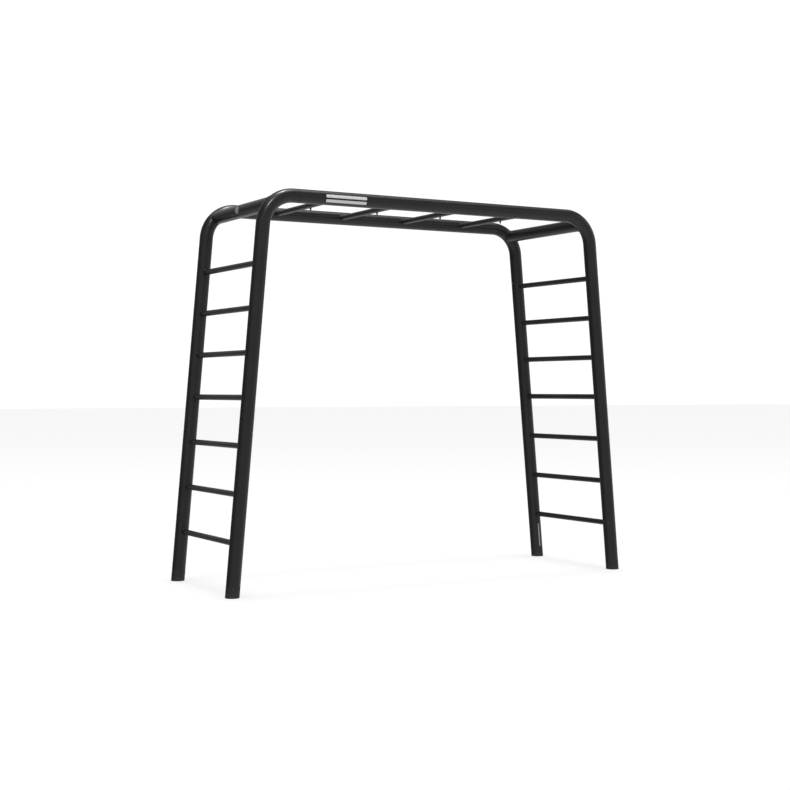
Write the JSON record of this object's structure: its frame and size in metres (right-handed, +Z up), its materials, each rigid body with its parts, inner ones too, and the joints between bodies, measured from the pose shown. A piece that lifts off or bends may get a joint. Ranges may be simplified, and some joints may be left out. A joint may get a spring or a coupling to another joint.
{
  "type": "monkey bars",
  "caption": "Freestanding steel monkey bars: two leaning ladder ends, rounded top corners, two top rails and hanging rungs across the gap.",
  "frame": {"origin": "centre of the footprint, on the ground under the four feet", "axes": "+X along the top rails from the left ladder to the right ladder, +Y from the front legs to the back legs, +Z up"},
  "size_m": [2.6944, 0.906, 2.265],
  "materials": {
    "frame_paint": "satin black powder coat on steel tube",
    "foot_plastic": "matte black moulded plastic",
    "fixing_steel": "blackened steel bolts"
  },
  "bodies": {
    "root": {"foot_cap_left_front": "foot_plastic", "lower_leg_left_front": "frame_paint", "upper_leg_left_front": "frame_paint", "corner_bend_left_front": "frame_paint", "lower_joint_bolt_left_front": "fixing_steel", "upper_joint_bolt_left_front": "fixing_steel", "rail_joint_bolt_left_front": "fixing_steel", "rung_flange_left_front": "frame_paint", "foot_cap_left_back": "foot_plastic", "lower_leg_left_back": "frame_paint", "upper_leg_left_back": "frame_paint", "corner_bend_left_back": "frame_paint", "lower_joint_bolt_left_back": "fixing_steel", "upper_joint_bolt_left_back": "fixing_steel", "rail_joint_bolt_left_back": "fixing_steel", "rung_flange_left_back": "frame_paint", "cross_tube_left": "frame_paint", "side_rung_left_1": "frame_paint", "side_rung_left_2": "frame_paint", "side_rung_left_3": "frame_paint", "side_rung_left_4": "frame_paint", "side_rung_left_5": "frame_paint", "side_rung_left_6": "frame_paint", "side_rung_left_7": "frame_paint", "foot_cap_right_front": "foot_plastic", "lower_leg_right_front": "frame_paint", "upper_leg_right_front": "frame_paint", "corner_bend_right_front": "frame_paint", "lower_joint_bolt_right_front": "fixing_steel", "upper_joint_bolt_right_front": "fixing_steel", "rail_joint_bolt_right_front": "fixing_steel", "rung_flange_right_front": "frame_paint", "foot_cap_right_back": "foot_plastic", "lower_leg_right_back": "frame_paint", "upper_leg_right_back": "frame_paint", "corner_bend_right_back": "frame_paint", "lower_joint_bolt_right_back": "fixing_steel", "upper_joint_bolt_right_back": "fixing_steel", "rail_joint_bolt_right_back": "fixing_steel", "rung_flange_right_back": "frame_paint", "cross_tube_right": "frame_paint", "side_rung_right_1": "frame_paint", "side_rung_right_2": "frame_paint", "side_rung_right_3": "frame_paint", "side_rung_right_4": "frame_paint", "side_rung_right_5": "frame_paint", "side_rung_right_6": "frame_paint", "side_rung_right_7": "frame_paint", "top_rail_front": "frame_paint", "middle_rail_bolt_front": "fixing_steel", "top_rail_back": "frame_paint", "middle_rail_bolt_back": "fixing_steel", "top_rung_1": "frame_paint", "top_rung_bolt_1": "fixing_steel", "top_rung_2": "frame_paint", "top_rung_bolt_2": "fixing_steel", "top_rung_3": "frame_paint", "top_rung_bolt_3": "fixing_steel", "top_rung_4": "frame_paint", "top_rung_bolt_4": "fixing_steel"}
  },
  "joints": []
}
